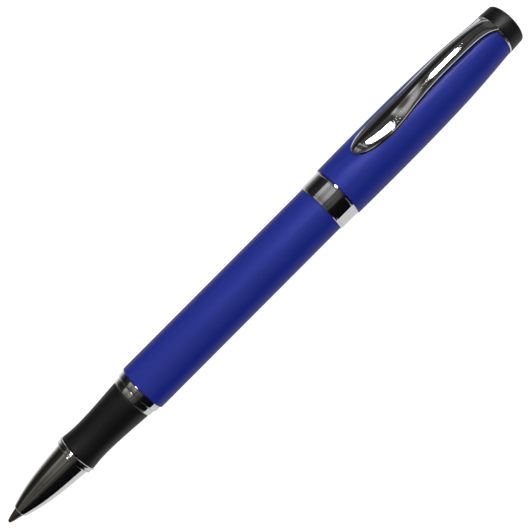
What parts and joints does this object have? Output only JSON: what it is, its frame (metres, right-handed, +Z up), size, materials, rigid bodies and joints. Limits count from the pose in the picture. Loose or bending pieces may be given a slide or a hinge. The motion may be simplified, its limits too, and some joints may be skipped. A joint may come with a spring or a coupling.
{
  "type": "rollerball pen",
  "caption": "Rollerball pen with its cap posted on the barrel: ogive metal nose, soft waisted grip, straight lacquered barrel, and a tapered cap with a sprung teardrop clip.",
  "frame": {"origin": "under the middle of the pen, on the surface that the cap lies on", "axes": "+X along the pen from the writing ball to the finial, +Z up through the clip, +Y across"},
  "size_m": [0.1552, 0.0132, 0.015],
  "materials": {
    "chrome": "mirror polished plating",
    "blue_lacquer": "satin lacquer over brass tube",
    "grip_rubber": "soft matte",
    "black_plastic": "satin",
    "white_plastic": "moulded",
    "brass": "turned",
    "steel": "drawn",
    "ball_steel": "polished carbide",
    "ink_fibre": "ink-soaked fibre"
  },
  "bodies": {
    "barrel": {"barrel_tube": "blue_lacquer", "barrel_front_ring": "chrome", "barrel_thread_bush": "brass", "refill_spring": "steel", "spring_seat": "black_plastic", "tail_plug": "black_plastic"},
    "section": {"nose_cone": "chrome", "nose_ring": "chrome", "grip_sleeve": "grip_rubber", "section_collar": "chrome", "section_core": "brass"},
    "refill": {"refill_point": "steel", "refill_nose": "white_plastic", "refill_tube": "steel", "refill_wick": "ink_fibre", "refill_reservoir": "ink_fibre", "refill_tail_plug": "white_plastic"},
    "ball": {"writing_ball": "ball_steel"},
    "cap": {"cap_tube": "blue_lacquer", "cap_band": "chrome", "cap_liner": "black_plastic", "cap_crown_bush": "brass", "clip_collar": "chrome", "finial": "black_plastic", "finial_stud": "steel"},
    "clip": {"clip_arm": "chrome"}
  },
  "joints": [
    {"name": "cap_pull", "type": "slide", "parent": "barrel", "child": "cap", "axis": [1, 0, 0], "range_m": [0, 0.03]},
    {"name": "clip_flex", "type": "hinge", "parent": "cap", "child": "clip", "pos_m": [0.07355, 0, 0.01205], "axis": [0, 1, 0], "range_deg": [0, 4], "stiffness_Nm_per_rad": 0.6},
    {"name": "refill_draw", "type": "slide", "parent": "barrel", "child": "refill", "axis": [-1, 0, 0], "range_m": [0, 0.00375], "deforming": ["refill_spring"]},
    {"name": "section_turn", "type": "hinge", "parent": "refill", "child": "section", "pos_m": [0, 0, 0.0066], "axis": [-1, 0, 0], "range_deg": [0, 1800]},
    {"name": "ball_roll", "type": "hinge", "parent": "refill", "child": "ball", "pos_m": [-0.07725, 0, 0.0066], "axis": [0, 1, 0], "continuous": true}
  ],
  "couplings": [
    {"joint": "section_turn", "follows": "refill_draw", "rad_per_m": 8377.6}
  ]
}
